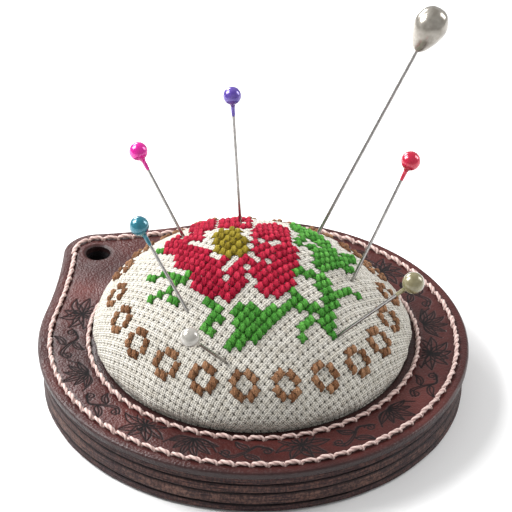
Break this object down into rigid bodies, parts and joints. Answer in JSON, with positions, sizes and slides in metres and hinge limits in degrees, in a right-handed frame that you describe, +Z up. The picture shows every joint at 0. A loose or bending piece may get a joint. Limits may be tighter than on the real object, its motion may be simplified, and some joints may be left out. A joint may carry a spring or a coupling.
{
  "type": "pin cushion",
  "caption": "Round pin cushion: a stuffed, embroidered dome sewn into a stack of leather discs with a hang tab, and pins that push in and pull out.",
  "frame": {"origin": "centre of the underside of the leather stack", "axes": "+Z up, +Y towards the hang tab"},
  "size_m": [0.0935, 0.0968, 0.0701],
  "materials": {
    "tooled_leather": "tooled and burnished, satin",
    "spacer_leather": "burnished edge",
    "base_leather": "satin",
    "waxed_cord": "waxed twisted cord",
    "card": "matt",
    "filling": "loose fibre",
    "evenweave": "open plain weave",
    "red_thread": "stranded cotton",
    "green_thread": "stranded cotton",
    "gold_thread": "stranded cotton",
    "brown_thread": "stranded cotton",
    "pin_steel": "polished",
    "violet_head": "pearl lacquer",
    "magenta_head": "pearl lacquer",
    "teal_head": "pearl lacquer",
    "white_head": "pearl lacquer",
    "crimson_head": "pearl lacquer",
    "pearl_head": "pearl lacquer",
    "drop_head": "pearl lacquer"
  },
  "bodies": {
    "cushion": {"backing_board": "card", "bottom_leather": "base_leather", "brown_stitches": "brown_thread", "fabric_cover": "evenweave", "gold_stitches": "gold_thread", "green_stitches": "green_thread", "inner_stitching": "waxed_cord", "lower_spacer": "spacer_leather", "middle_spacer": "spacer_leather", "outer_stitching": "waxed_cord", "red_stitches": "red_thread", "stuffing": "filling", "top_leather": "tooled_leather", "upper_spacer": "spacer_leather"},
    "violet_pin": {"violet_pin_head": "violet_head", "violet_pin_shaft": "pin_steel"},
    "magenta_pin": {"magenta_pin_head": "magenta_head", "magenta_pin_shaft": "pin_steel"},
    "teal_pin": {"teal_pin_head": "teal_head", "teal_pin_shaft": "pin_steel"},
    "white_pin": {"white_pin_head": "white_head", "white_pin_shaft": "pin_steel"},
    "crimson_pin": {"crimson_pin_head": "crimson_head", "crimson_pin_shaft": "pin_steel"},
    "pearl_pin": {"pearl_pin_head": "pearl_head", "pearl_pin_shaft": "pin_steel"},
    "drop_pin": {"drop_pin_head": "drop_head", "drop_pin_shaft": "pin_steel"}
  },
  "joints": [
    {"name": "violet_pin_slide", "type": "slide", "parent": "cushion", "child": "violet_pin", "axis": [0.0773, 0.1612, 0.9839], "range_m": [-0.0168, 0.0115]},
    {"name": "magenta_pin_slide", "type": "slide", "parent": "cushion", "child": "magenta_pin", "axis": [-0.1491, 0.4645, 0.8729], "range_m": [-0.0108, 0.0186]},
    {"name": "teal_pin_slide", "type": "slide", "parent": "cushion", "child": "teal_pin", "axis": [-0.1407, 0.5109, 0.8481], "range_m": [-0.0079, 0.0203]},
    {"name": "white_pin_slide", "type": "slide", "parent": "cushion", "child": "white_pin", "axis": [-0.666, -0.0877, 0.7408], "range_m": [-0.0027, 0.0223]},
    {"name": "crimson_pin_slide", "type": "slide", "parent": "cushion", "child": "crimson_pin", "axis": [0.3805, -0.1726, 0.9085], "range_m": [-0.0126, 0.0113]},
    {"name": "pearl_pin_slide", "type": "slide", "parent": "cushion", "child": "pearl_pin", "axis": [0.3037, -0.6064, 0.7349], "range_m": [-0.0035, 0.0188]},
    {"name": "drop_pin_slide", "type": "slide", "parent": "cushion", "child": "drop_pin", "axis": [0.4719, -0.1699, 0.8652], "range_m": [-0.0116, 0.0112]}
  ]
}
